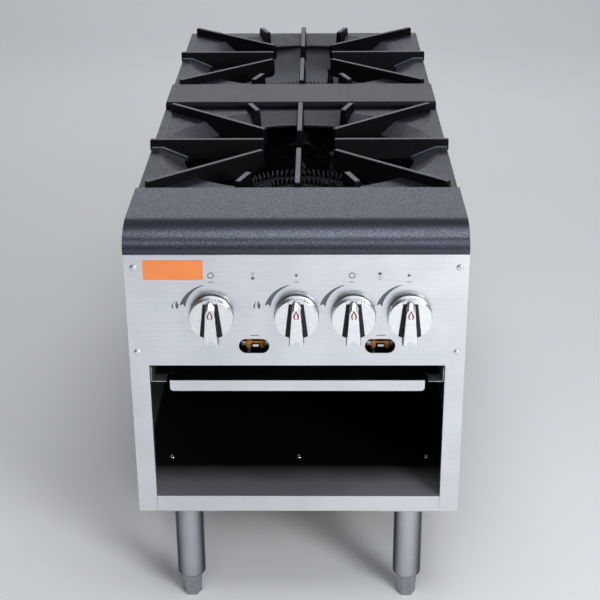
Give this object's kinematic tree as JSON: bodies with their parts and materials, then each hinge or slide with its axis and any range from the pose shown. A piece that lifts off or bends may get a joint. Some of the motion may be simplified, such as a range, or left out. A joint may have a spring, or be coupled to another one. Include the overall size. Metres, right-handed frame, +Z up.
{
  "type": "stock pot range",
  "caption": "Low floor-standing gas range with in-line ring burners under cast top grates, front knobs, a slide-out drip tray and an open cabinet on round legs.",
  "frame": {"origin": "on the floor, in the middle of the whole outline", "axes": "+X to the right of someone at the knobs, +Y to the back, +Z up"},
  "size_m": [0.4572, 1.0768, 0.6096],
  "materials": {
    "stainless": "brushed",
    "plated_sheet": "satin",
    "deck_enamel": "textured matt",
    "grate_iron": "enamelled, textured",
    "burner_iron": "as cast",
    "pipe": "satin black",
    "bright_tube": "drawn",
    "brass": "machined",
    "pilot_steel": "machined",
    "knob_metal": "polished",
    "tray_steel": "satin",
    "leg_metal": "satin",
    "foot_metal": "cast, plated",
    "fastener": "plated",
    "badge": "gloss"
  },
  "bodies": {
    "range": {"back_panel": "plated_sheet", "badge_plate": "badge", "body_screws": "fastener", "cabinet_floor": "plated_sheet", "front_air_shutters": "plated_sheet", "front_base_channel": "plated_sheet", "front_burner_rests": "plated_sheet", "front_deck": "deck_enamel", "front_inner_burner": "burner_iron", "front_outer_burner": "burner_iron", "front_panel": "stainless", "front_pilot_burner": "pilot_steel", "front_pilot_tube": "bright_tube", "front_pilot_valve": "brass", "gas_valve_1": "brass", "gas_valve_2": "brass", "gas_valve_3": "brass", "gas_valve_4": "brass", "left_side_panel": "stainless", "left_tray_rail": "plated_sheet", "leg_1": "leg_metal", "leg_2": "leg_metal", "leg_3": "leg_metal", "leg_4": "leg_metal", "leg_bolts": "fastener", "manifold_pipe": "pipe", "middle_band": "deck_enamel", "middle_partition": "plated_sheet", "orifices": "brass", "rear_air_shutters": "plated_sheet", "rear_base_channel": "plated_sheet", "rear_burner_rests": "plated_sheet", "rear_inner_burner": "burner_iron", "rear_inner_gas_tube": "bright_tube", "rear_outer_burner": "burner_iron", "rear_outer_gas_tube": "bright_tube", "rear_pilot_burner": "pilot_steel", "rear_pilot_tube": "bright_tube", "rear_pilot_valve": "brass", "right_side_panel": "stainless", "right_tray_rail": "plated_sheet", "supply_pipe": "pipe", "upper_back_panel": "plated_sheet"},
    "front_grate": {"front_grate": "grate_iron"},
    "rear_grate": {"rear_grate": "grate_iron"},
    "drip_tray": {"drip_tray": "tray_steel"},
    "knob_1": {"knob_1": "knob_metal", "valve_stem_1": "pilot_steel"},
    "foot_1": {"foot_1": "foot_metal"},
    "knob_2": {"knob_2": "knob_metal", "valve_stem_2": "pilot_steel"},
    "foot_2": {"foot_2": "foot_metal"},
    "knob_3": {"knob_3": "knob_metal", "valve_stem_3": "pilot_steel"},
    "foot_3": {"foot_3": "foot_metal"},
    "knob_4": {"knob_4": "knob_metal", "valve_stem_4": "pilot_steel"},
    "foot_4": {"foot_4": "foot_metal"}
  },
  "joints": [
    {"name": "knob_1_turn", "type": "hinge", "parent": "range", "child": "knob_1", "pos_m": [-0.1143, -0.5074, 0.4745], "axis": [0, -1, 0], "range_deg": [0, 90]},
    {"name": "knob_2_turn", "type": "hinge", "parent": "range", "child": "knob_2", "pos_m": [0, -0.5074, 0.4745], "axis": [0, -1, 0], "range_deg": [0, 90]},
    {"name": "knob_3_turn", "type": "hinge", "parent": "range", "child": "knob_3", "pos_m": [0.0762, -0.5074, 0.4745], "axis": [0, -1, 0], "range_deg": [0, 90]},
    {"name": "knob_4_turn", "type": "hinge", "parent": "range", "child": "knob_4", "pos_m": [0.1514, -0.5074, 0.4745], "axis": [0, -1, 0], "range_deg": [0, 90]},
    {"name": "tray_slide", "type": "slide", "parent": "range", "child": "drip_tray", "axis": [0, -1, 0], "range_m": [0, 0.6]},
    {"name": "front_grate_lift", "type": "slide", "parent": "range", "child": "front_grate", "axis": [0, 0, 1], "range_m": [0, 0.25]},
    {"name": "rear_grate_lift", "type": "slide", "parent": "range", "child": "rear_grate", "axis": [0, 0, 1], "range_m": [0, 0.25]},
    {"name": "foot_1_level", "type": "slide", "parent": "range", "child": "foot_1", "axis": [0, 0, -1], "range_m": [0, 0.025]},
    {"name": "foot_2_level", "type": "slide", "parent": "range", "child": "foot_2", "axis": [0, 0, -1], "range_m": [0, 0.025]},
    {"name": "foot_3_level", "type": "slide", "parent": "range", "child": "foot_3", "axis": [0, 0, -1], "range_m": [0, 0.025]},
    {"name": "foot_4_level", "type": "slide", "parent": "range", "child": "foot_4", "axis": [0, 0, -1], "range_m": [0, 0.025]}
  ]
}
